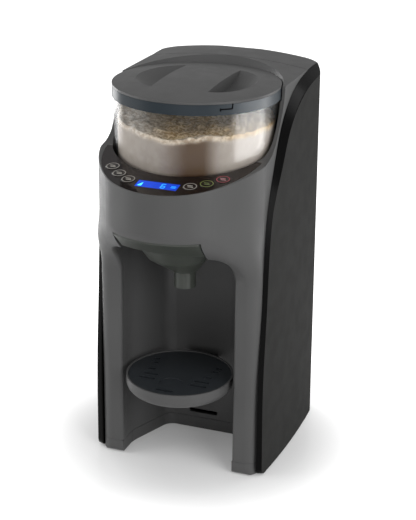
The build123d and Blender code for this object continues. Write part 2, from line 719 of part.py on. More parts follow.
with BuildPart() as drive_gear:
    add(spur_gear(0, HOPPER_Y, GEAR_N, 0))
    # round windows lighten the web
    with BuildSketch(Plane.XY.offset(GEAR_Z)):
        with Locations((0, HOPPER_Y)):
            with PolarLocations(18.5, 6, start_angle=30):
                Circle(6.5)
    extrude(amount=GEAR_T, mode=Mode.SUBTRACT)
    with BuildSketch(Plane.XY.offset(GEAR_Z)):
        with Locations((0, HOPPER_Y)):
            Circle(GEAR_HUB_R)
    extrude(amount=WELL_FLOOR_Z - GEAR_Z)
    with BuildSketch(Plane.XY.offset(WELL_FLOOR_Z)):
        with Locations((0, HOPPER_Y)):
            Rectangle(DOG, DOG)
    extrude(amount=6.5)
    with BuildSketch(Plane.XY.offset(GEAR_Z)):
        with Locations((0, HOPPER_Y)):
            Circle(AXLE_R + 0.06)
    extrude(amount=11.0, mode=Mode.SUBTRACT)
save(drive_gear.part, "drive_gear")

with BuildPart() as motor_pinion:
    add(spur_gear(0, MOTOR_Y, PINION_N, 9))
    with BuildSketch(Plane.XY.offset(PLATE_Z - 10)):
        with Locations((0, MOTOR_Y)):
            Circle(SHAFT_R)
    extrude(amount=GEAR_Z + GEAR_T + 1.5 - PLATE_Z + 10)
save(motor_pinion.part, "motor_pinion")

with BuildPart() as drive_motor:
    with BuildSketch(Plane.XY.offset(PLATE_Z)):
        with Locations((0, MOTOR_Y)):
            SlotOverall(40, 8)
            Circle(12.5)
    extrude(amount=-3.0)
    with BuildSketch(Plane.XY.offset(PLATE_Z)):
        with Locations((0, MOTOR_Y)):
            Circle(12.5)
    extrude(amount=-14.0)
    with BuildSketch(Plane.XY.offset(PLATE_Z - 14)):
        with Locations((0, MOTOR_Y)):
            Circle(11.5)
    extrude(amount=-25.0)
    chamfer(drive_motor.edges().sort_by(Axis.Z)[0], length=1.2)
    with BuildSketch(Plane.XY.offset(PLATE_Z)):
        with Locations((0, MOTOR_Y)):
            Circle(SHAFT_R + 0.06)
    extrude(amount=-11.0, mode=Mode.SUBTRACT)
save(drive_motor.part, "drive_motor")

with BuildPart() as motor_screws:
    with BuildSketch(Plane.XY.offset(PLATE_Z + PLATE_T)):
        with Locations((-15, MOTOR_Y), (15, MOTOR_Y)):
            Circle(2.6)
    extrude(amount=1.6)
    with BuildSketch(Plane.XY.offset(PLATE_Z + PLATE_T)):
        with Locations((-15, MOTOR_Y), (15, MOTOR_Y)):
            Circle(1.4)
    extrude(amount=-2.0)
save(motor_screws.part, "motor_screws")

# ---------------------------------------------------------------- powder hopper
with BuildPart() as hopper_base:
    with BuildSketch(Plane.XY.offset(WELL_FLOOR_Z + 0.05)):
        with Locations((0, HOPPER_Y)):
            Circle(HOPPER_R - 1.2)
    extrude(amount=5.0)
    with BuildSketch(Plane.XY.offset(WELL_FLOOR_Z + 5.05)):
        with Locations((0, HOPPER_Y)):
            Circle(HOPPER_IN_R - 0.3)
    extrude(amount=SPIGOT)
    with BuildSketch(Plane.XY.offset(WELL_FLOOR_Z + 5.05)):
        with Locations((0, HOPPER_Y)):
            Circle(WHEEL_R + 0.5)
    extrude(amount=SPIGOT, mode=Mode.SUBTRACT)
    with BuildSketch(Plane.XY.offset(WELL_FLOOR_Z)):
        with Locations((0, OUTLET_Y)):
            Circle(CHUTE_R + 0.2)
        with Locations((0, HOPPER_Y)):
            Circle(WHEEL_HUB_R + 0.06)
    extrude(amount=6.0, mode=Mode.SUBTRACT)
save(hopper_base.part, "hopper_base")

with BuildPart() as hopper:
    with BuildSketch(Plane.XZ.offset(-HOPPER_Y)):
        with BuildLine():
            bottom = WELL_FLOOR_Z + 5.2
            Polyline(
                (HOPPER_IN_R, bottom), (HOPPER_R - 1.0, bottom), (HOPPER_R - 0.6, HOPPER_TOP),
                (HOPPER_IN_R + 0.6, HOPPER_TOP), close=True,
            )
        make_face()
    revolve(axis=Axis((0, HOPPER_Y, 0), (0, 0, 1)))
save(hopper.part, "hopper")

with BuildPart() as dosing_wheel:
    with BuildSketch(Plane.XY.offset(WHEEL_Z)):
        with Locations((0, HOPPER_Y)):
            Circle(WHEEL_R)
            with PolarLocations(HOPPER_Y - OUTLET_Y, POCKETS, start_angle=-90):
                Circle(POCKET_R, mode=Mode.SUBTRACT)
    extrude(amount=WHEEL_T)
    with BuildSketch(Plane.XY.offset(WELL_FLOOR_Z + 0.8)):
        with Locations((0, HOPPER_Y)):
            Circle(WHEEL_HUB_R)
    extrude(amount=WHEEL_Z - WELL_FLOOR_Z)
    with BuildSketch(Plane.XY.offset(WELL_FLOOR_Z)):
        with Locations((0, HOPPER_Y)):
            Rectangle(DOG + 0.5, DOG + 0.5)
    extrude(amount=8.0, mode=Mode.SUBTRACT)
save(dosing_wheel.part, "dosing_wheel")

with BuildPart() as stirrer:
    stir_z = WHEEL_Z + WHEEL_T
    with BuildSketch(Plane.XY.offset(stir_z)):
        with Locations((0, HOPPER_Y)):
            Circle(9.0)
    extrude(amount=26.0, taper=6)
    fillet(stirrer.edges().sort_by(Axis.Z)[-1], radius=3.0)
    for side, height in ((-1, 8.0), (1, 15.0)):
        with BuildSketch(Plane.XY.offset(stir_z + height)):
            with Locations((side * 34.0, HOPPER_Y)):
                SlotOverall(66, 5)
        extrude(amount=4.0)
        with BuildSketch(Plane.XY.offset(stir_z + height)):
            with Locations((side * 62.0, HOPPER_Y)):
                SlotOverall(9, 5, rotation=90)
        extrude(amount=12.0)
save(stirrer.part, "stirrer")

with BuildPart() as powder_scraper:
    with BuildSketch(Plane.XY.offset(WELL_FLOOR_Z + 5.05 + SPIGOT)):
        with Locations((0, HOPPER_Y)):
            Circle(HOPPER_IN_R - 0.3)
            Circle(38.0, mode=Mode.SUBTRACT)
        with BuildSketch(mode=Mode.PRIVATE) as wedge:
            with BuildLine():
                Polyline(
                    (0, HOPPER_Y), (-46, HOPPER_Y - 80), (46, HOPPER_Y - 80), close=True,
                )
            make_face()
        add(wedge.sketch, mode=Mode.INTERSECT)
    extrude(amount=1.8)
save(powder_scraper.part, "powder_scraper")

# ---------------------------------------------------------------- hopper lid


def lid_dome(radius, top, rise, bottom):
    """Solid of revolution about the hopper's axis with a domed top."""
    with BuildPart(mode=Mode.PRIVATE) as dome:
        with BuildSketch(Plane.XZ.offset(-HOPPER_Y)):
            with BuildLine():
                crown = top + rise
                at_45 = rise * (1 - 0.25)
                ThreePointArc((0, crown), (radius / 2, top + at_45), (radius, top))
                Polyline((radius, top), (radius, bottom), (0, bottom), (0, crown))
            make_face()
        revolve(axis=Axis((0, HOPPER_Y, 0), (0, 0, 1)))
    return dome.part


def grip_recess(side, grow):
    """Barrel that presses one finger recess into the lid, cut off at the grip bar."""
    radius = GRIP_R + grow
    arc = GRIP_ARC + grow
    end_z = GRIP_AXIS_Z - (math.sqrt(arc**2 - GRIP_HALF**2) - arc + radius)
    front = HOPPER_Y - GRIP_HALF
    back = HOPPER_Y + GRIP_HALF
    with BuildPart(mode=Mode.PRIVATE) as press:
        with BuildSketch(Plane.YZ.offset(side * GRIP_X)):
            with BuildLine():
                ThreePointArc((front, end_z), (HOPPER_Y, GRIP_AXIS_Z - radius), (back, end_z))
                Polyline((back, end_z), (back, GRIP_AXIS_Z), (front, GRIP_AXIS_Z), (front, end_z))
            make_face()
        revolve(axis=Axis((side * GRIP_X, 0, GRIP_AXIS_Z), (0, 1, 0)))
        with Locations((side * (GRIP_X - grow), HOPPER_Y, LID_Z)):
            align_x = Align.MIN if side > 0 else Align.MAX
            Box(100, 200, 100, align=(align_x, Align.CENTER, Align.CENTER), mode=Mode.INTERSECT)
    return press.part


with BuildPart() as hopper_lid:
    add(lid_dome(LID_R, LID_Z, LID_RISE, LID_Z - LID_WALL))
    for side in (-1, 1):
        add(grip_recess(side, LID_WALL))
    add(lid_dome(LID_R, LID_Z, LID_RISE, LID_Z - 20), mode=Mode.INTERSECT)
    with BuildPart(mode=Mode.PRIVATE) as below:
        add(lid_dome(LID_R + 5, LID_Z - LID_WALL - 0.4, LID_RISE, LID_Z - 60))
        for side in (-1, 1):
            add(grip_recess(side, LID_WALL), mode=Mode.SUBTRACT)
    add(below.part, mode=Mode.SUBTRACT)
    for side in (-1, 1):
        add(grip_recess(side, 0), mode=Mode.SUBTRACT)
save(hopper_lid.part, "hopper_lid")

with BuildPart() as lid_ring:
    with BuildSketch(Plane.XZ.offset(-HOPPER_Y)):
        with BuildLine():
            ring_top = LID_Z - LID_WALL
            web = ring_top - 2.0
            Polyline(
                (LID_R, LID_Z - SKIRT_H), (LID_R, ring_top), (HOPPER_IN_R - 2.5, ring_top),
                (HOPPER_IN_R - 2.5, COLLAR_LOW), (HOPPER_IN_R - 0.5, COLLAR_LOW), (HOPPER_IN_R - 0.5, web),
                (LID_R - 1.25, web), (LID_R - 1.25, LID_Z - SKIRT_H), close=True,
            )
        make_face()
    revolve(axis=Axis((0, HOPPER_Y, 0), (0, 0, 1)))
save(lid_ring.part, "lid_ring")

with BuildPart() as lid_seal:
    with BuildSketch(Plane.XY.offset(COLLAR_LOW + 0.5)):
        with Locations((0, HOPPER_Y)):
            Circle(HOPPER_IN_R + 0.3)
            Circle(HOPPER_IN_R - 0.5, mode=Mode.SUBTRACT)
    extrude(amount=2.0)
save(lid_seal.part, "lid_seal")

# ---------------------------------------------------------------- mixing funnel


def wing_plan(z, half_width, front, sides, back, inset=0.0):
    """Plan of the funnel's wing at one height: a bowed front edge and a straight back."""
    w = half_width - inset
    with BuildSketch(Plane.XY.offset(z)) as plan:
        with BuildLine():
            ThreePointArc((-w, sides + inset), (0, front + inset), (w, sides + inset))
            Polyline((w, sides + inset), (w, back - inset), (-w, back - inset), (-w, sides + inset))
        make_face()
    return plan.sketch


def wing(inset=0.0, lift=0.0, over=0.0):
    with BuildPart(mode=Mode.PRIVATE) as block:
        low = wing_plan(CONE[2][0] - 0.5 + lift, 38.5, -92.5, -85.0, -20.0, inset)
        high = wing_plan(WING_TOP + over, WING_W, -112.6, -101.0, -8.0, inset)
        loft([low.face(), high.face()], ruled=True)
    return block.part


def cone(sections):
    with BuildPart(mode=Mode.PRIVATE) as bowl:
        for z, y, radius in sections:
            with BuildSketch(Plane.XY.offset(z)):
                with Locations((0, y)):
                    Circle(radius)
        loft(ruled=True)
    return bowl.part


with BuildPart() as mixing_funnel:
    add(wing())
    add(cone(CONE))
    with BuildSketch(Plane.XY.offset(NOZZLE_Z)):
        with Locations((0, NOZZLE_Y)):
            Circle(NOZZLE_R)
    extrude(amount=CONE[0][0] + 1.0 - NOZZLE_Z)
    # flanges that run on the ledges of the slot
    with BuildSketch(Plane.XY.offset(RUNNER_Z + 0.2)):
        with Locations((0, -55)):
            Rectangle(2 * (SLOT_W - 0.3), 84)
    extrude(amount=WING_TOP - RUNNER_Z - 0.2)
    add(wing(inset=FUNNEL_WALL, lift=FUNNEL_WALL, over=1.0), mode=Mode.SUBTRACT)
    wall = FUNNEL_WALL + 0.3
    throat = (CONE[0][0] + FUNNEL_WALL, NOZZLE_Y, NOZZLE_R - FUNNEL_WALL + 0.4)
    middle = (CONE[1][0], CONE[1][1], CONE[1][2] - wall)
    mouth = (CONE[2][0] + wall, CONE[2][1], CONE[2][2] - wall)
    add(cone((throat, middle, mouth)), mode=Mode.SUBTRACT)
    with BuildSketch(Plane.XY.offset(NOZZLE_Z - 1)):
        with Locations((0, NOZZLE_Y)):
            Circle(NOZZLE_R - FUNNEL_WALL)
    extrude(amount=throat[0] - NOZZLE_Z + 1.05, mode=Mode.SUBTRACT)
save(mixing_funnel.part, "mixing_funnel")

with BuildPart() as funnel_cover:
    extrude(wing_plan(WING_TOP, WING_W, -112.6, -101.0, -8.0), amount=1.5)
    with BuildSketch(Plane.XY.offset(WING_TOP)):
        with Locations((0, OUTLET_Y)):
            Circle(CHUTE_R + 1.0)
        with Locations(WATER_XY):
            Circle(4.0)
    extrude(amount=1.5, mode=Mode.SUBTRACT)
save(funnel_cover.part, "funnel_cover")

# ---------------------------------------------------------------- drip tray
with BuildPart() as drip_tray:
    with BuildSketch(Plane.XZ.offset(-TRAY_Y)):
        with BuildLine():
            outer = TRAY_R
            inner = outer - 3.4
            inner_round = TRAY_ROUND - 2.2
            wall = Line((0, TRAY_LOW), (outer - TRAY_ROUND, TRAY_LOW))
            TangentArc(wall @ 1, (outer, TRAY_LOW + TRAY_ROUND), tangent=wall % 1)
            Polyline(
                (outer, TRAY_LOW + TRAY_ROUND), (outer, TRAY_Z), (outer - 1.6, TRAY_Z), (outer - 1.6, GRILLE_Z),
                (inner, GRILLE_Z), (inner, TRAY_LOW + 2.2 + inner_round),
            )
            floor = Line((inner - inner_round, TRAY_LOW + 2.2), (0, TRAY_LOW + 2.2))
            TangentArc(floor @ 0, (inner, TRAY_LOW + 2.2 + inner_round), tangent=(1, 0))
            Line((0, TRAY_LOW + 2.2), (0, TRAY_LOW))
        make_face()
    revolve(axis=Axis((0, TRAY_Y, 0), (0, 0, 1)))
    # arm and tongue that plug into the back wall
    with BuildSketch(Plane.XY.offset(SLOT_ZS[2] - TONGUE_T / 2)):
        with BuildLine():
            Polyline(
                (-30, TRAY_Y + 38), (-TONGUE_W, BAY_BACK - 3), (-TONGUE_W, BAY_BACK + 6),
                (TONGUE_W, BAY_BACK + 6), (TONGUE_W, BAY_BACK - 3), (30, TRAY_Y + 38), close=True,
            )
        make_face()
        with Locations((0, TRAY_Y)):
            Circle(TRAY_R - 4.0, mode=Mode.SUBTRACT)
    extrude(amount=TONGUE_T)
save(drip_tray.part, "drip_tray")

with BuildPart() as tray_grille:
    with BuildSketch(Plane.XY.offset(GRILLE_Z)):
        with Locations((0, TRAY_Y)):
            Circle(TRAY_R - 1.9)
        for x, y, length in GRILLE_SLOTS:
            with Locations((x, y)):
                SlotOverall(length, 3.6, mode=Mode.SUBTRACT)
    extrude(amount=2.0)
    # shallow dish that centres the bottle
    with BuildSketch(Plane.XY.offset(GRILLE_Z + 2.0)):
        with Locations((0, DISH_Y)):
            Circle(DISH_R)
    extrude(amount=-0.6, mode=Mode.SUBTRACT)
save(tray_grille.part, "tray_grille")

# ---------------------------------------------------------------- rear housing and water tank


def rear_plan(half_width, limit, front, inset=0.0):
    """Plan of the part of the body behind the seam, cut off at the sides."""
    with BuildSketch() as plan:
        add(body_plan(half_width, inset))
        with Locations((0, (front + BIG / 2) / 2)):
            Rectangle(2 * limit, BIG / 2 - front, mode=Mode.INTERSECT)
    return plan.sketch


with BuildPart() as rear_housing:
    with BuildSketch(Plane.XY.offset(BASE_Z)):
        add(rear_plan(SIDE_W, CORE_W - SIDE_GAP, SEAM_Y))
    extrude(amount=LEDGE_Z - BASE_Z)
    with BuildSketch(Plane.XY.offset(BASE_Z)):
        add(rear_plan(SIDE_W, CORE_W - SIDE_GAP - WALL, SEAM_Y + WALL, inset=WALL))
    extrude(amount=LEDGE_Z - WALL - BASE_Z, mode=Mode.SUBTRACT)
    # partition and side guides of the tank bay
    with BuildSketch(Plane.XY.offset(LEDGE_Z)):
        with Locations((0, SEAM_Y + 1)):
            Rectangle(2 * (CORE_W - SIDE_GAP), 2.0)
        for side in (-1, 1):
            with Locations((side * (TANK_W + 1.9), SEAM_Y + 13)):
                Rectangle(2.4, 26)
    extrude(amount=TANK_TOP - 0.5 - LEDGE_Z)
    with Locations((OUTFLOW[0], OUTFLOW[1], LEDGE_Z)):
        Cylinder(8.0, 12, mode=Mode.SUBTRACT)
    with Locations((INLET_X, HALF_D, INLET_Z)):
        Box(27.6, 12, 19.6, mode=Mode.SUBTRACT)
save(rear_housing.part, "rear_housing")

with BuildPart() as water_tank:
    with BuildSketch(Plane.XY.offset(TANK_FLOOR)) as tank_plan:
        add(rear_plan(TOP_W, TANK_W, TANK_FRONT))
        fillet(tank_plan.vertices().filter_by(lambda v: abs(v.X) > TANK_W - 0.1), radius=4.0)
    extrude(amount=TANK_TOP - TANK_FLOOR)
    fillet(water_tank.edges().group_by(Axis.Z)[0], radius=2.0)
    with BuildSketch(Plane.XY.offset(TANK_FLOOR + TANK_WALL)):
        offset(tank_plan.sketch, amount=-TANK_WALL)
    extrude(amount=BIG, mode=Mode.SUBTRACT)
    with Locations((OUTFLOW[0], OUTFLOW[1], TANK_FLOOR)):
        Cylinder(5.5, 12, mode=Mode.SUBTRACT)
save(water_tank.part, "water_tank")

with BuildPart() as tank_lid:
    with BuildSketch(Plane.XY.offset(TANK_TOP + 0.2)) as lid_plan:
        add(rear_plan(TOP_W, CORE_W - 0.4, SEAM_Y + 0.3))
    extrude(amount=60)
    with BuildPart(mode=Mode.PRIVATE) as lid_top:
        extrude(core_side(bottom=100), amount=BIG)
        extrude(crown_front(), amount=BIG, mode=Mode.INTERSECT)
    add(lid_top.part, mode=Mode.INTERSECT)
    with BuildPart(mode=Mode.PRIVATE) as lid_inside:
        with BuildSketch(Plane.XY.offset(TANK_TOP)):
            add(rear_plan(TOP_W, CORE_W - 0.4 - WALL, SEAM_Y + 0.3 + WALL, inset=WALL))
        extrude(amount=60)
        add(lid_top.part.moved(Location((0, 0, -WALL))), mode=Mode.INTERSECT)
    add(lid_inside.part, mode=Mode.SUBTRACT)
save(tank_lid.part, "tank_lid")

with BuildPart() as tank_valve:
    with BuildSketch(Plane.XZ.offset(-OUTFLOW[1])):
        with BuildLine():
            seat = TANK_FLOOR + TANK_WALL + 0.1
            Polyline(
                (0, seat - 2.0), (2.6, seat - 2.0), (3.6, seat), (8.5, seat), (8.5, seat + 1.4),
                (3.0, seat + 3.0), (3.0, seat + 8.0), (0, seat + 8.0), close=True,
            )
        make_face()
    revolve(axis=Axis((0, OUTFLOW[1], 0), (0, 0, 1)))
save(tank_valve.part, "tank_valve")

with BuildPart() as valve_socket:
    with BuildSketch(Plane.XY.offset(LEDGE_Z - WALL - 3.0)):
        with Locations(OUTFLOW):
            Circle(11.0)
    extrude(amount=3.0)
    with BuildSketch(Plane.XY.offset(LEDGE_Z - WALL)):
        with Locations(OUTFLOW):
            Circle(7.7)
    extrude(amount=WALL - 0.1)
    with BuildSketch(Plane.XY.offset(LEDGE_Z - WALL - 3.0)):
        with Locations(OUTFLOW):
            Circle(3.6)
    extrude(amount=-6.0)
    with Locations((OUTFLOW[0], OUTFLOW[1], LEDGE_Z)):
        Cylinder(5.0, 6.0, mode=Mode.SUBTRACT)
save(valve_socket.part, "valve_socket")

with BuildPart() as power_inlet:
    with Locations((INLET_X, HALF_D - 0.5, INLET_Z)):
        Box(27.0, 20.0, 19.0, align=(Align.CENTER, Align.MAX, Align.CENTER))
        fillet(power_inlet.edges().filter_by(Axis.Y), radius=3.0)
        Box(22.6, 16.0, 14.6, align=(Align.CENTER, Align.MAX, Align.CENTER), mode=Mode.SUBTRACT)
    with BuildSketch(Plane.XZ.offset(17.0 - HALF_D)):
        with Locations((INLET_X - 7, INLET_Z - 2), (INLET_X, INLET_Z + 2), (INLET_X + 7, INLET_Z - 2)):
            Rectangle(2.0, 4.0)
    extrude(amount=-12.0)
save(power_inlet.part, "power_inlet")

# ---------------------------------------------------------------- water path and electronics
with BuildPart() as water_pump:
    with BuildSketch(Plane.XY.offset(FLOOR_TOP)):
        with Locations(PUMP_XY):
            RectangleRounded(38, 38, 5)
    extrude(amount=3.0)
    with BuildSketch(Plane.XY.offset(FLOOR_TOP)):
        with Locations(PUMP_XY):
            Circle(17.0)
    extrude(amount=24.0)
    with BuildSketch(Plane.XY.offset(FLOOR_TOP + 24.0)):
        with Locations(PUMP_XY):
            Circle(13.0)
    extrude(amount=30.0)
    chamfer(water_pump.edges().sort_by(Axis.Z)[-1], length=1.5)
    with BuildSketch(Plane.XY.offset(FLOOR_TOP + 54.0)):
        with Locations(PUMP_XY):
            Circle(4.2)
    extrude(amount=7.0)
save(water_pump.part, "water_pump")

with BuildPart() as water_heater:
    with BuildSketch(Plane.XY.offset(60)):
        with Locations(HEATER_XY):
            Circle(19.5)
    extrude(amount=100)
    chamfer(water_heater.edges().filter_by(GeomType.CIRCLE), length=4.0)
    with BuildSketch(Plane.XY.offset(FLOOR_TOP)):
        with Locations((HEATER_XY[0] - 12, HEATER_XY[1]), (HEATER_XY[0] + 12, HEATER_XY[1])):
            Circle(3.0)
    extrude(amount=60)
    with BuildSketch(Plane.XY.offset(155)):
        with Locations(HEATER_XY):
            Circle(4.2)
    extrude(amount=8.0)
    with BuildSketch(Plane.YZ.offset(HEATER_XY[0] - 23.0)):
        with Locations((HEATER_XY[1], FEED_Z)):
            Circle(4.2)
    extrude(amount=8.0)
save(water_heater.part, "water_heater")

with BuildPart() as suction_tube:
    start = (OUTFLOW[0], OUTFLOW[1], LEDGE_Z - WALL - 9.2)
    add(tube((start, (0, OUTFLOW[1], 9), (0, PUMP_XY[1], 9), (PUMP_XY[0] + 19.3, PUMP_XY[1], 9)), 6.0, TUBE_R))
save(suction_tube.part, "suction_tube")

with BuildPart() as feed_tube:
    start = (*PUMP_XY, FLOOR_TOP + 61.2)
    add(tube((start, (*PUMP_XY, FEED_Z), (HEATER_XY[0] - 23.2, HEATER_XY[1], FEED_Z)), 6.0, TUBE_R))
save(feed_tube.part, "feed_tube")

with BuildPart() as riser_tube:
    start = (*HEATER_XY, 163.2)
    top = PLATE_Z + 4.0
    add(tube((
        start, (*HEATER_XY, top), (HEATER_XY[0], WATER_XY[1], top), (*WATER_XY, top),
        (*WATER_XY, PLATE_Z + 1.3)), 2.0, 1.9))
save(riser_tube.part, "riser_tube")

with BuildPart() as water_nozzle:
    with BuildSketch(Plane.XY.offset(PLATE_Z + 0.1)):
        with Locations(WATER_XY):
            Circle(5.5)
    extrude(amount=1.0)
    with BuildSketch(Plane.XY.offset(BOX_Z - 0.8)):
        with Locations(WATER_XY):
            Circle(3.1)
    extrude(amount=LINER + 1.0)
    with Locations((*WATER_XY, BOX_Z)):
        Cylinder(1.5, 12, mode=Mode.SUBTRACT)
save(water_nozzle.part, "water_nozzle")

with BuildPart() as main_board:
    with BuildSketch(Plane.XZ.offset(-74.6)):
        with Locations((0, 150)):
            Rectangle(116, 110)
    extrude(amount=1.6)
    for x, z, w, h, d in ((-38, 180, 24, 20, 14), (-38, 145, 12, 12, 20), (-12, 150, 18, 10, 6), (-15, 120, 30, 16, 9)):
        with Locations((x, 73.0, z)):
            Box(w, d, h, align=(Align.CENTER, Align.MAX, Align.CENTER))
save(main_board.part, "main_board")

with BuildPart() as housing_screws:
    with BuildSketch(Plane.XY.offset(FOOT_H + 0.3)):
        with Locations(*SCREWS):
            Circle(3.0)
    extrude(amount=1.1)
    with BuildSketch(Plane.XY.offset(FOOT_H + 1.4)):
        with Locations(*SCREWS):
            Circle(1.5)
    extrude(amount=8.0)
    with BuildSketch(Plane.XY.offset(FOOT_H + 0.3)):
        with Locations(*SCREWS):
            Rectangle(3.2, 0.7)
            Rectangle(0.7, 3.2)
    extrude(amount=0.6, mode=Mode.SUBTRACT)
save(housing_screws.part, "housing_screws")
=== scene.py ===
import math

import bmesh
import bpy
from mathutils import Matrix, Vector, noise
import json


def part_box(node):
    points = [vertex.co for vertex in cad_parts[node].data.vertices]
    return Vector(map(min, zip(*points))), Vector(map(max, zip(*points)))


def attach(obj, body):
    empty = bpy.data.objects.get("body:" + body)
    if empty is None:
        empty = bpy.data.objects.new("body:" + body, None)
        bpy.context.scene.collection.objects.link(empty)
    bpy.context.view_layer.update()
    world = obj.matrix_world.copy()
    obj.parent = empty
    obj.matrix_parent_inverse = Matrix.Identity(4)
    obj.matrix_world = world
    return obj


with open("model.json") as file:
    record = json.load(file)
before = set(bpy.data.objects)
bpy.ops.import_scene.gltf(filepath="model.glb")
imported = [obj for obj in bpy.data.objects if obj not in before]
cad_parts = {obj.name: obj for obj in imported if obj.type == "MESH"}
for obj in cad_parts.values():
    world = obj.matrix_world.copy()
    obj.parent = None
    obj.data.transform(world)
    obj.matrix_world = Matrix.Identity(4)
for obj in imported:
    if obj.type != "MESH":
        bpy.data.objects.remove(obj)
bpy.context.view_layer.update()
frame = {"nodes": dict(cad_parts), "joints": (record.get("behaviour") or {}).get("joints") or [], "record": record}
nodes = frame["nodes"]
MM = 0.001
RIGHT, UP = Vector((1, 0, 0)), Vector((0, 0, 1))

# ---------------------------------------------------------------- places, from the frame
PRESS = {j["child"]: Vector(j["axis"]) for j in frame["joints"] if j["name"].startswith("press_")}
KEYS = sorted(PRESS)
PANEL_UP = -PRESS["button_inner_left"].normalized()  # out of the control panel
PANEL_BACK = PANEL_UP.cross(RIGHT)  # up the slope of the panel

hopper_low, hopper_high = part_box("hopper")
HOPPER_AXIS = (hopper_low + hopper_high) / 2
BASE_OVERHANG = 2.2 * MM  # how far the hopper's base stands out beyond its bore
HOPPER_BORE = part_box("hopper_base")[1].x - BASE_OVERHANG
SCRAPER_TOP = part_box("powder_scraper")[1].z
LID_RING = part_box("lid_ring")


def top_centre(node, direction):
    """Centre of a node's face that lies furthest along the direction."""
    flatness = 0.05 * MM
    points = [vertex.co for vertex in nodes[node].data.vertices]
    reach = max(p.dot(direction) for p in points)
    face = [p for p in points if p.dot(direction) > reach - flatness]
    low = Vector(min(p[i] for p in face) for i in range(3))
    high = Vector(max(p[i] for p in face) for i in range(3))
    return (low + high) / 2


# ---------------------------------------------------------------- node helpers
class Shading:
    """A node material under construction: colour, roughness and bump all come from nodes.

    Noise scales are in waves per metre, and bump depths in metres.
    """

    def __init__(self, name, **sockets):
        self.material = bpy.data.materials.new(name)
        self.material.use_nodes = True
        self.tree = self.material.node_tree
        self.bsdf = self.tree.nodes["Principled BSDF"]
        self.output = self.tree.nodes["Material Output"]
        for label, value in sockets.items():
            self.bsdf.inputs[label.replace("_", " ")].default_value = value
        coordinates = self.node("ShaderNodeTexCoord").outputs
        self.place, self.normal = coordinates["Object"], coordinates["Normal"]

    def node(self, kind, inputs=None, **settings):
        """New node with its settings, and its inputs linked or set."""
        made = self.tree.nodes.new(kind)
        for key, value in settings.items():
            setattr(made, key, value)
        for key, value in (inputs or {}).items():
            self.feed(made.inputs[key], value)
        return made

    def feed(self, socket, value):
        """Link another socket to this one, or set a plain value."""
        if isinstance(value, bpy.types.NodeSocket):
            self.tree.links.new(value, socket)
        else:
            socket.default_value = value

    def source(self, label):
        """What feeds an input of the shader so far."""
        return self.bsdf.inputs[label].links[0].from_socket

    def noise(self, scale, detail=3.0, stretch=(1, 1, 1)):
        place = self.node("ShaderNodeMapping", {"Vector": self.place, "Scale": stretch}).outputs[0]
        inputs = {"Vector": place, "Scale": scale, "Detail": detail}
        return self.node("ShaderNodeTexNoise", inputs).outputs[0]

    def math(self, operation, a, b=0.0, clamp=False):
        return self.node("ShaderNodeMath", {0: a, 1: b}, operation=operation, use_clamp=clamp).outputs[0]

    def vector_math(self, operation, a, b=(0, 0, 0)):
        made = self.node("ShaderNodeVectorMath", {0: a, 1: b}, operation=operation)
        return made.outputs["Value" if operation in ("LENGTH", "DOT_PRODUCT") else "Vector"]

    def axes(self, vector):
        """X, Y and Z of a vector."""
        return self.node("ShaderNodeSeparateXYZ", {0: vector}).outputs

    def span(self, value, low, high, start=0.0, end=1.0):
        """Smooth step from start to end while the value goes from low to high."""
        inputs = {0: value, 1: low, 2: high, 3: start, 4: end}
        return self.node("ShaderNodeMapRange", inputs, interpolation_type="SMOOTHSTEP").outputs[0]

    def swing(self, noise_value, start=0.0, end=1.0):
        """Start to end over the range in which most of a noise lies."""
        return self.span(noise_value, 0.3, 0.7, start, end)

    def mix(self, factor, a, b):
        """Colour from a to b. Sockets 6, 7 and 2 are the Mix node's colour inputs and output."""
        made = self.node("ShaderNodeMix", data_type="RGBA")
        self.feed(made.inputs[0], factor)
        self.feed(made.inputs[6], a)
        self.feed(made.inputs[7], b)
        return made.outputs[2]

    def relief(self, height, depth):
        """Normal of a surface that stands up by the depth where the height is 1."""
        return self.node("ShaderNodeBump", {"Height": height, "Distance": depth}).outputs[0]

    def colour(self, value):
        self.feed(self.bsdf.inputs["Base Color"], value)

    def rough(self, low, high, scale=60.0):
        self.feed(self.bsdf.inputs["Roughness"], self.swing(self.noise(scale), low, high))

    def bump(self, height, depth):
        self.feed(self.bsdf.inputs["Normal"], self.relief(height, depth))

    def glow(self, value, strength):
        self.feed(self.bsdf.inputs["Emission Color"], value)
        self.feed(self.bsdf.inputs["Emission Strength"], strength)


def rgba(r, g, b):
    return (r, g, b, 1.0)


def scaled(colour, factor):
    return rgba(*(c * factor for c in colour))


def moulded(name, colour, rough, grain=1400.0, depth=0.03 * MM, spread=0.05, **sockets):
    """Moulded plastic: a faint drift of tone, uneven gloss and a fine spark-eroded grain.

    Spread is the share of the colour by which it drifts to either side.
    """
    s = Shading(name, **sockets)
    drift = s.swing(s.noise(14.0, 2.0))
    s.colour(s.mix(drift, scaled(colour, 1 - spread), scaled(colour, 1 + spread)))
    s.rough(*rough)
    s.bump(s.noise(grain, 2.0), depth)
    return s


# ---------------------------------------------------------------- finishes
def grey_finish():
    colour = (0.079, 0.079, 0.079)
    return moulded("grey_plastic", colour, (0.36, 0.42), spread=0.03, Specular_IOR_Level=0.3).material


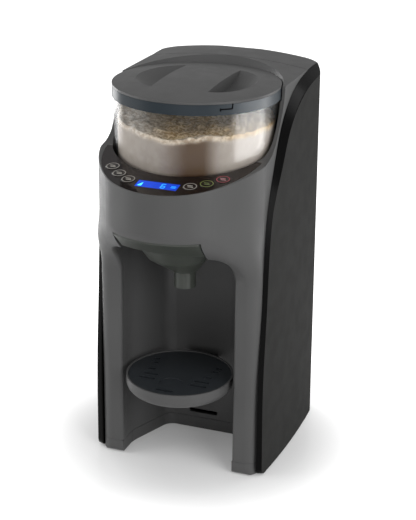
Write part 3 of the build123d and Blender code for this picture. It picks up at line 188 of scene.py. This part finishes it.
def dark_finish():
    """Fine matte side shells; their front and top bevel is polished, and its near-black colour is a painted dark
    reflection.
    """
    s = moulded("dark_plastic", (0.021, 0.021, 0.020), (0.54, 0.60), 2200.0, spread=0.02,
                Specular_IOR_Level=0.06)
    x, y, z = s.axes(s.normal)
    sideways = s.math("ABSOLUTE", x)
    facing = s.math("MAXIMUM", s.math("MULTIPLY", y, -1.0), z)  # forward or up
    bevel_gloss_and_painted_dark = s.math("MULTIPLY", s.span(sideways, 0.97, 0.90), s.span(facing, 0.10, 0.25))
    s.feed(s.bsdf.inputs["Roughness"], s.span(bevel_gloss_and_painted_dark, 0.0, 1.0, s.source("Roughness"), 0.22))
    # Painted reflection: the bevel's colour goes near black where it faces forward or up, standing in for the dark
    # that it mirrors
    s.colour(s.mix(bevel_gloss_and_painted_dark, s.source("Base Color"), rgba(0.003, 0.003, 0.003)))
    return s.material


def lens_finish():
    """Glossy black window over the control panel."""
    s = Shading("black_lens", Specular_IOR_Level=0.32)
    s.colour(s.mix(s.swing(s.noise(9.0)), rgba(0.008, 0.005, 0.0045), rgba(0.012, 0.008, 0.007)))
    s.rough(0.07, 0.12, 90.0)
    s.bump(s.noise(40.0), 0.02 * MM)
    return s.material


def display_finish():
    """Backlit window: blue glow, paler towards the left end."""
    palest, deepest = -22 * MM, 6 * MM
    s = Shading("backlit_display", Specular_IOR_Level=0.12)
    depth = s.span(s.axes(s.place)[0], palest, deepest)
    blue = s.mix(depth, rgba(0.006, 0.085, 0.90), rgba(0.002, 0.055, 0.76))
    speck = s.swing(s.noise(300.0), 0.9, 1.05)
    specks = s.node("ShaderNodeCombineXYZ", {0: speck, 1: speck, 2: speck}).outputs[0]
    s.colour(rgba(0.01, 0.02, 0.08))
    s.glow(s.vector_math("MULTIPLY", blue, specks), 0.82)
    s.rough(0.08, 0.14)
    s.bump(s.noise(60.0), 0.01 * MM)
    return s.material


def key_finish(node, ring_colour):
    """Dark key with a printed ring round its edge."""
    rounding, soft = 0.6 * MM, 0.25 * MM
    ring_start, ring_end = 1.45 * MM, 0.65 * MM  # inward from the edge of the flat top
    s = Shading(f"{node}_finish", Specular_IOR_Level=0.35)
    low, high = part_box(node)
    edge = (high.x - low.x) / 2 - rounding
    from_centre = s.vector_math("SUBTRACT", s.place, tuple(top_centre(node, PANEL_UP)))
    radius = s.vector_math("LENGTH", s.vector_math("CROSS_PRODUCT", from_centre, tuple(PANEL_UP)))
    inside = s.span(radius, edge - ring_start, edge - ring_start + soft)
    outside = s.span(radius, edge - ring_end, edge - ring_end + soft, 1.0, 0.0)
    on_top = s.span(s.axes(s.normal)[2], 0.6, 0.8)
    printed = s.math("MULTIPLY", s.math("MULTIPLY", inside, outside), on_top)
    worn = s.math("MULTIPLY", printed, s.span(s.noise(420.0), 0.2, 0.5, 0.75, 1.0))
    s.colour(s.mix(worn, rgba(0.014, 0.011, 0.010), rgba(*ring_colour)))
    s.rough(0.12, 0.2, 200.0)
    s.bump(worn, 0.03 * MM)
    return s.material


def film(name, tint, mirror, rough, haze=None):
    """Thin clear moulding: what is behind it shows through, and its faces mirror the lamps.

    Mirror is the share that a face mirrors when seen squarely. Haze is a share and a colour of pigment.
    """
    grazing_share, grazing_power = 0.4, 5.0
    s = Shading(name)
    s.tree.nodes.remove(s.bsdf)
    streak = s.noise(30.0, 2.0, (1, 1, 0.2))
    tints = s.mix(s.swing(streak), scaled(tint, 0.985), rgba(*tint))
    clear = s.node("ShaderNodeBsdfTransparent", {"Color": tints})
    ripple = s.relief(s.noise(22.0, 1.0), 0.05 * MM)
    gloss_inputs = {"Roughness": s.swing(streak, rough, rough * 1.5), "Normal": ripple}
    gloss = s.node("ShaderNodeBsdfGlossy", gloss_inputs)
    facing = s.node("ShaderNodeLayerWeight", {"Blend": 0.5, "Normal": ripple}).outputs["Facing"]
    grazing = s.math("MULTIPLY", s.math("POWER", facing, grazing_power), grazing_share)
    share = s.math("ADD", grazing, mirror, clamp=True)
    top = s.node("ShaderNodeMixShader", {0: share, 1: clear.outputs[0], 2: gloss.outputs[0]})
    if haze:
        milk = s.node("ShaderNodeBsdfDiffuse", {"Color": rgba(*haze[1])})
        top = s.node("ShaderNodeMixShader", {0: haze[0], 1: top.outputs[0], 2: milk.outputs[0]})
    s.feed(s.output.inputs["Surface"], top.outputs[0])
    return s.material


def clear_finish():
    return film("clear_wall", (0.96, 0.955, 0.95), 0.025, 0.15)


def tank_finish():
    return film("smoked_tank", (0.30, 0.32, 0.34), 0.04, 0.09, haze=(0.12, (0.05, 0.055, 0.06)))


def smoke_finish():
    """Smoked blue-grey lid ring and hopper base."""
    colour = (0.026, 0.034, 0.041)
    return moulded("smoked_ring", colour, (0.3, 0.38), 500.0, 0.01 * MM, Specular_IOR_Level=0.14).material


def funnel_finish():
    s = moulded("smoked_funnel", (0.047, 0.052, 0.045), (0.30, 0.34), 900.0, 0.006 * MM, spread=0.02,
                Specular_IOR_Level=0.4)
    return s.material


def grille_finish():
    return moulded("satin_grille", (0.023, 0.027, 0.031), (0.30, 0.38), 1600.0, 0.02 * MM).material


def rubber_finish():
    return moulded("soft_rubber", (0.022, 0.022, 0.022), (0.6, 0.8), 2600.0, 0.04 * MM).material


def natural_finish():
    return moulded("natural_acetal", (0.62, 0.61, 0.56), (0.35, 0.5), 900.0, 0.02 * MM).material


def gear_finish():
    return moulded("gear_acetal", (0.68, 0.66, 0.58), (0.4, 0.55), 900.0, 0.02 * MM).material


def silicone_finish():
    return moulded("silicone", (0.62, 0.62, 0.59), (0.45, 0.6), 600.0, 0.02 * MM).material


def board_finish():
    """Circuit board: solder mask with copper tracks under it."""
    s = Shading("circuit_board", Coat_Weight=0.3)
    inputs = {"Vector": s.place, "Scale": 260.0}
    cells = s.node("ShaderNodeTexVoronoi", inputs, feature="DISTANCE_TO_EDGE").outputs[0]
    tracks = s.span(cells, 0.02, 0.05)
    s.colour(s.mix(tracks, rgba(0.05, 0.22, 0.08), rgba(0.012, 0.10, 0.045)))
    s.rough(0.25, 0.35)
    s.bump(tracks, 0.03 * MM)
    return s.material


def metal_finish(name, colour, rough, stretch):
    """Metal with fine marks, drawn out where the stretch is below 1."""
    s = Shading(name, Metallic=1.0)
    lay = s.noise(500.0, 3.0, stretch)
    s.colour(s.mix(s.swing(lay), scaled(colour, 0.9), scaled(colour, 1.08)))
    s.feed(s.bsdf.inputs["Roughness"], s.swing(lay, rough, rough + 0.12))
    s.bump(lay, 0.02 * MM)
    return s.material


def steel_finish():
    return metal_finish("machined_steel", (0.56, 0.56, 0.55), 0.26, (1, 1, 0.08))


def alu_finish():
    return metal_finish("die_cast", (0.55, 0.56, 0.57), 0.4, (1, 1, 1))


def print_finish(name, colour, glow=0.0, shine=0.5):
    """Printed ink. Glow lights it in its own colour."""
    s = moulded(name, colour, (0.3, 0.45), 900.0, 0.004 * MM, Specular_IOR_Level=shine)
    if glow:
        s.glow(s.source("Base Color"), glow)
    return s.material


RINGS = {
    "button_silver": (0.30, 0.285, 0.26),
    "button_green": (0.16, 0.20, 0.06),
    "button_red": (0.34, 0.05, 0.07),
}
FINISHES = {
    "grey": grey_finish, "dark": dark_finish, "panel_black": lens_finish, "display": display_finish,
    "clear": clear_finish, "smoke": smoke_finish, "funnel_smoke": funnel_finish, "tray_dark": grille_finish,
    "tank_smoke": tank_finish, "rubber": rubber_finish, "natural": natural_finish, "gear": gear_finish,
    "steel": steel_finish, "alu": alu_finish, "board": board_finish, "silicone": silicone_finish,
}


def dress_nodes():
    """One finish per slot, except the keys, whose rings are centred on each of them."""
    made = {}
    for sub in frame["record"]["subparts"]:
        node, slot = sub["node"], sub["material_slot"]
        if slot in RINGS:
            material = key_finish(node, RINGS[slot])
        else:
            if slot not in made:
                made[slot] = FINISHES[slot]()
            material = made[slot]
        for holder in nodes[node].material_slots:
            holder.material = material


# ---------------------------------------------------------------- pieces that only show
def mesh_object(name, bm, material, smooth=True):
    """Object of a bmesh, which is used up, with one material."""
    mesh = bpy.data.meshes.new(name)
    bmesh.ops.recalc_face_normals(bm, faces=bm.faces)
    bm.to_mesh(mesh)
    bm.free()
    for face in mesh.polygons:
        face.use_smooth = smooth
    mesh.materials.append(material)
    piece = bpy.data.objects.new(name, mesh)
    bpy.context.scene.collection.objects.link(piece)
    return piece


# ---------------------------------------------------------------- powder in the hopper
HEAP_LOW = 321.0 * MM  # level of the heap's top at the middle of the front
SIDE_RISE, SIDE_STEEPNESS = 6.0 * MM, 2.2  # along the front wall, to both sides
BACK_RISE = 5.0 * MM  # away from the front
LEFT_BACK_RISE, BACK_LEAN = 13.0 * MM, 0.36  # towards the back, which leans to the left
LUMPS = (  # height, waves per metre and shift of each layer of lumps
    (2.2 * MM, 60, (0, 0, 0)),
    (2.2 * MM, 190, (3, 1, 7)),
    (1.0 * MM, 420, (9, 4, 2)),
)


def powder_height(x, y):
    """Level of the heap's top over a plan point that is measured from the hopper's axis."""
    across = x / HOPPER_BORE
    front = max(0.0, -y / HOPPER_BORE)
    behind = max(0.0, (y - BACK_LEAN * x) / HOPPER_BORE)
    level = HEAP_LOW + SIDE_RISE * min(1.0, SIDE_STEEPNESS * abs(across)) * front
    level += BACK_RISE * (1 - front) + LEFT_BACK_RISE * behind * max(0.0, -across)
    place = Vector((x, y, 0.0))
    return level + sum(high * noise.noise(place * waves + Vector(shift)) for high, waves, shift in LUMPS)


def powder_finish():
    """Cream powder, smooth where it lies against the wall and crumbly on top. The brown band down the wall and the
    browner middle of the top are painted shade.
    """
    shade_band_heading = math.radians(17)  # the way the painted shade band faces, to the right of the front
    s = Shading("formula_powder")
    grains = s.noise(330.0, 2.0)
    clumps = s.noise(150.0, 4.0)
    on_top = s.span(s.axes(s.normal)[2], 0.2, 0.7)
    sine, cosine = math.sin(shade_band_heading), math.cos(shade_band_heading)
    from_axis = s.vector_math("SUBTRACT", s.place, (HOPPER_AXIS.x, HOPPER_AXIS.y, 0))
    rightward = s.vector_math("DOT_PRODUCT", from_axis, (cosine, sine, 0))
    ahead = s.vector_math("DOT_PRODUCT", from_axis, (sine, -cosine, 0))
    sideways = s.math("DIVIDE", rightward, HOPPER_BORE)  # -1 to 1 over the hopper's width

    # Painted shade: a brown band down the middle of the wall, where the side lamps leave it dark, and cream where
    # they light it
    left_fade = s.span(sideways, -0.48, -0.02)
    right_fade = s.span(sideways, 0.12, 0.40, 1.0, 0.0)
    painted_shade_band = s.math("MULTIPLY", s.math("MULTIPLY", left_fade, right_fade), s.span(ahead, 0, 20 * MM))
    cream = s.mix(s.span(clumps, 0.35, 0.65), rgba(0.44, 0.395, 0.35), rgba(0.49, 0.445, 0.40))
    wall = s.mix(painted_shade_band, cream, rgba(0.105, 0.058, 0.026))

    grain_tone = s.span(grains, 0.38, 0.62)
    tan = s.mix(grain_tone, rgba(0.70, 0.61, 0.50), rgba(0.97, 0.92, 0.84))
    brown = s.mix(grain_tone, rgba(0.42, 0.25, 0.07), rgba(0.84, 0.65, 0.37))
    # Painted shade on the top, under the lid: browner towards the middle and right, paler at the far left and near
    # the front edge
    near_edge = s.span(ahead, HOPPER_BORE * 0.80, HOPPER_BORE * 0.97)
    painted_top_shade = s.math("MULTIPLY", s.span(sideways, -0.75, -0.15), s.span(near_edge, 0.0, 1.0, 1.0, 0.35))
    s.colour(s.mix(on_top, wall, s.mix(painted_top_shade, tan, brown)))
    s.feed(s.bsdf.inputs["Roughness"], s.swing(clumps, 0.75, 0.95))
    s.bump(s.math("MULTIPLY", grains, on_top), 0.9 * MM)
    return s.material


def powder():
    """Heap of formula powder that fills the hopper above the dosing wheel."""
    rings, turns, wall_steps = 34, 150, 6
    wall_gap, scraper_gap = 0.5 * MM, 0.4 * MM
    radius, foot_level = HOPPER_BORE - wall_gap, SCRAPER_TOP + scraper_gap
    bm = bmesh.new()

    def at(r, i, z=None):
        """Vertex at a radius and a step of the turn, on the heap's top unless z says otherwise."""
        angle = math.tau * i / turns
        x, y = r * math.cos(angle), r * math.sin(angle)
        level = powder_height(x, y) if z is None else z
        return bm.verts.new((HOPPER_AXIS.x + x, HOPPER_AXIS.y + y, level))

    loops = [[at(radius * k / rings, i) for i in range(turns)] for k in range(rings, 0, -1)]
    rim = [vertex.co.z for vertex in loops[0]]
    for k in range(1, wall_steps + 1):
        share = k / wall_steps
        loops.insert(0, [at(radius, i, z + (foot_level - z) * share) for i, z in enumerate(rim)])
    peak, foot = at(0, 0), at(0, 0, foot_level)
    for a, b in zip(loops, loops[1:]):
        for i in range(turns):
            j = (i + 1) % turns
            bm.faces.new((a[i], a[j], b[j], b[i]))
    for i in range(turns):
        j = (i + 1) % turns
        bm.faces.new((loops[-1][i], loops[-1][j], peak))
        bm.faces.new((loops[0][j], loops[0][i], foot))
    piece = mesh_object("powder_heap", bm, powder_finish())
    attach(piece, "hopper_group")


# ---------------------------------------------------------------- printed marks
def plate(name, outline, origin, u, v, thickness, material, body):
    """Thin raised plate of an outline given along u and v, standing on origin along u x v."""
    out = u.cross(v).normalized()
    bm = bmesh.new()
    low = [bm.verts.new(origin + u * a + v * b) for a, b in outline]
    high = [bm.verts.new(p.co + out * thickness) for p in low]
    bm.faces.new(low[::-1])
    bm.faces.new(high)
    for i in range(len(low)):
        j = (i + 1) % len(low)
        bm.faces.new((low[i], low[j], high[j], high[i]))
    piece = mesh_object(name, bm, material, smooth=False)
    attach(piece, body)


def bar(centre, length, width, angle=0.0):
    """Outline in metres of a bar with cut corners, along the angle, from sizes in millimetres."""
    cut = width * 0.3
    a, b = length / 2, width / 2
    lower = [(-a, cut - b), (cut - a, -b), (a - cut, -b), (a, cut - b)]
    corners = lower + [(-x, -y) for x, y in lower]
    c, s = math.cos(angle), math.sin(angle)
    return [((centre[0] + x * c - y * s) * MM, (centre[1] + x * s + y * c) * MM) for x, y in corners]


def display_marks():
    """The digit 6, a drop and two bars, placed in millimetres from the display's centre."""
    thickness = 0.05 * MM
    digit_x, width, half_height, stroke, gap = 5.4, 3.2, 3.4, 0.9, 0.2
    bars_x, bars_top, bar_pitch, bar_length = 14.6, 1.0, 2.0, 4.4
    drop_corners = ((-17.2, -3.4), (-13.6, -3.4), (-13.6, 2.6))
    centre = top_centre("lcd_module", PANEL_UP)
    ink = print_finish("display_ink", (0.02, 0.36, 1.0), glow=0.9)
    bright = print_finish("display_mark_ink", (0.10, 0.85, 1.0), glow=1.0)

    side, middle, upright = width / 2, half_height / 2, math.pi / 2
    segments = {
        "top": (0, half_height, width, 0),
        "middle": (0, 0, width, 0),
        "bottom": (0, -half_height, width, 0),
        "upper_left": (-side, middle, half_height, upright),
        "lower_left": (-side, -middle, half_height, upright),
        "lower_right": (side, -middle, half_height, upright),
    }
    for name, (x, y, length, angle) in segments.items():
        outline = bar((digit_x + x, y), length - gap, stroke, angle)
        plate(f"digit_{name}", outline, centre, RIGHT, PANEL_BACK, thickness, ink, "housing")
    drop = [(x * MM, y * MM) for x, y in drop_corners]
    plate("display_drop", drop, centre, RIGHT, PANEL_BACK, thickness, bright, "housing")
    for k in range(2):
        outline = bar((bars_x, bars_top - bar_pitch * k), bar_length, stroke)
        name = f"display_bar_{k + 1}"
        plate(name, outline, centre, RIGHT, PANEL_BACK, thickness, ink, "housing")


def key_marks():
    """Plain bars printed on the keys, in place of their words."""
    length, width, thickness = 5.0, 1.0, 0.03 * MM
    places = ((-0.5, 1.1), (0.6, -1.1))  # millimetres from the key's centre
    pale = print_finish("key_ink_pale", (0.42, 0.40, 0.36))
    olive = print_finish("key_ink_olive", (0.15, 0.19, 0.07))
    rose = print_finish("key_ink_rose", (0.50, 0.24, 0.26))
    inks = {"button_mid_right": olive, "button_outer_right": rose}
    for node in KEYS:
        centre = top_centre(node, PANEL_UP)
        ink = inks.get(node, pale)
        for k, place in enumerate(places, 1):
            outline = bar(place, length, width)
            name = f"{node}_bar_{k}"
            plate(name, outline, centre, RIGHT, PANEL_BACK, thickness, ink, node)


def lid_mark():
    """Closed mark on the lid's ring: a line, a short tick at its left end and a taller one at its right."""
    heading = math.radians(40)  # to the right of the front
    width, thickness, sunk = 1.15, 0.25 * MM, 0.02 * MM
    strokes = (  # turn round the ring in degrees, rise and length in millimetres, angle in degrees
        (0, 0, 9.5, 0),
        (-4, -0.3, 2.8, 90),
        (4.2, 2.0, 5.0, 84),
    )
    ink = print_finish("lid_ink", (0.003, 0.003, 0.004), shine=0.02)
    low, high = LID_RING
    centre = (low + high) / 2
    radius = (high.x - low.x) / 2
    line_level = low.z + 0.55 * (high.z - low.z)
    for k, (turn, rise, length, angle) in enumerate(strokes, 1):
        a = heading + math.radians(turn)
        out = Vector((math.sin(a), -math.cos(a), 0))
        along = Vector((math.cos(a), math.sin(a), 0))
        origin = Vector((centre.x, centre.y, line_level + rise * MM)) + out * (radius - sunk)
        outline = bar((0, 0), length, width, math.radians(angle))
        plate(f"lid_mark_{k}", outline, origin, along, UP, thickness, ink, "lid_group")


# ---------------------------------------------------------------- studio
AMBIENT = 0.4  # the world's light on the machine; the camera sees 1
AIM = Vector((0, 0, 0.2))  # what the lamps look at
SOFTBOXES = {  # azimuth and elevation in degrees, distance, width and height in metres, watts
    "left_softbox": (-70, 16, 1.3, 0.9, 1.2, 8),
    "rim_softbox": (-120, 4, 1.2, 0.5, 0.8, 6.5),
    "right_softbox": (58, 18, 1.3, 0.8, 1.2, 9),
    "side_softbox": (128, 6, 0.9, 0.4, 0.9, 2.8),
    "front_softbox": (10, 4, 1.5, 0.8, 0.5, 2.2),
    "top_softbox": (10, 82, 1.5, 1.0, 0.8, 2.8),
}
REFLECTED_CARD = (99.5, 4, 0.75, 0.75, 0.5, 12.7)  # in the same order


def seen_by_camera(tree):
    """1 for rays that come from the camera, also through a clear piece, and otherwise 0."""
    rays = tree.nodes.new("ShaderNodeLightPath")
    seen = tree.nodes.new("ShaderNodeMath")
    seen.operation = "ADD"
    seen.use_clamp = True
    tree.links.new(rays.outputs["Is Camera Ray"], seen.inputs[0])
    tree.links.new(rays.outputs["Is Transmission Ray"], seen.inputs[1])
    return seen.outputs[0]


def studio():
    """World that is white to the camera and gives the machine an even light."""
    world = bpy.data.worlds.new("studio")
    bpy.context.scene.world = world
    world.use_nodes = True
    tree = world.node_tree
    back = tree.nodes["Background"]
    back.inputs["Color"].default_value = rgba(1.0, 1.0, 1.0)
    level = tree.nodes.new("ShaderNodeMapRange")
    level.inputs["To Min"].default_value = AMBIENT
    tree.links.new(seen_by_camera(tree), level.inputs["Value"])
    tree.links.new(level.outputs[0], back.inputs["Strength"])


def softbox(name, azimuth, elevation, distance, width, height, power):
    """Rectangular lamp that looks at the machine. Azimuth 0 is the front and 90 is the right."""
    lamp = bpy.data.lights.new(name, "AREA")
    lamp.shape = "RECTANGLE"
    lamp.size, lamp.size_y, lamp.energy = width, height, power
    box = bpy.data.objects.new(name, lamp)
    a, e = math.radians(azimuth), math.radians(elevation)
    out = Vector((math.sin(a) * math.cos(e), -math.cos(a) * math.cos(e), math.sin(e)))
    box.location = AIM + out * distance
    box.rotation_euler = out.to_track_quat("Z", "Y").to_euler()
    box.visible_camera = False
    bpy.context.scene.collection.objects.link(box)
    return box


def hopper_card():
    """White card whose reflection lies down the right of the clear hopper and its lid ring."""
    card = softbox("reflected_card", *REFLECTED_CARD)
    card.visible_diffuse = False
    lit = bpy.data.collections.new("card_lit")
    for node in ("hopper", "lid_ring"):
        lit.objects.link(nodes[node])
    card.light_linking.receiver_collection = lit


def floor_finish():
    """Pale floor that keeps the shadow near the machine and is lifted to white away from it."""
    near, far, near_lift, far_lift = 0.085, 0.22, 0.13, 0.96
    s = Shading("studio_floor")
    x, y, _ = s.axes(s.place)
    away = s.math("SQRT", s.math("ADD", s.math("POWER", x, 2.0), s.math("POWER", y, 2.0)))
    s.colour(s.mix(s.swing(s.noise(6.0)), rgba(0.86, 0.86, 0.86), rgba(0.88, 0.88, 0.88)))
    s.rough(0.22, 0.26, 8.0)
    lift = s.span(away, near, far, near_lift, far_lift)
    s.glow(rgba(1.0, 1.0, 1.0), s.math("MULTIPLY", lift, seen_by_camera(s.tree)))
    return s.material


def floor():
    half_side = 9.0
    bm = bmesh.new()
    bmesh.ops.create_grid(bm, x_segments=8, y_segments=8, size=half_side)
    piece = mesh_object("studio_floor", bm, floor_finish())


def camera():
    """Camera solved from the machine's edges: focal length in pixels, heading, tilt, roll and place."""
    focal, image_height = 1392.59, 520.0
    heading, tilt, roll = math.radians(20.03), math.radians(21.10), math.radians(0.628)
    place = (0.42239, -1.12938, 0.65245)
    flat = math.cos(tilt)
    forward = Vector((-math.sin(heading) * flat, math.cos(heading) * flat, -math.sin(tilt)))
    level = Vector((math.cos(heading), math.sin(heading), 0.0))
    upright = level.cross(forward)
    right = level * math.cos(roll) + upright * math.sin(roll)
    up = upright * math.cos(roll) - level * math.sin(roll)
    data = bpy.data.cameras.new("photo_camera")
    data.sensor_fit = "VERTICAL"
    data.sensor_height = 36.0
    data.lens = focal / image_height * data.sensor_height
    data.clip_start, data.clip_end = 0.05, 50.0
    view = bpy.data.objects.new("photo_camera", data)
    turn = Matrix((right, up, -forward)).transposed().to_4x4()
    view.matrix_world = Matrix.Translation(place) @ turn
    bpy.context.scene.collection.objects.link(view)
    bpy.context.scene.camera = view


camera()
dress_nodes()
powder()
display_marks()
key_marks()
lid_mark()
studio()
for box_name, box_place in SOFTBOXES.items():
    softbox(box_name, *box_place)
hopper_card()
floor()
bpy.context.scene.view_settings.view_transform = "Standard"
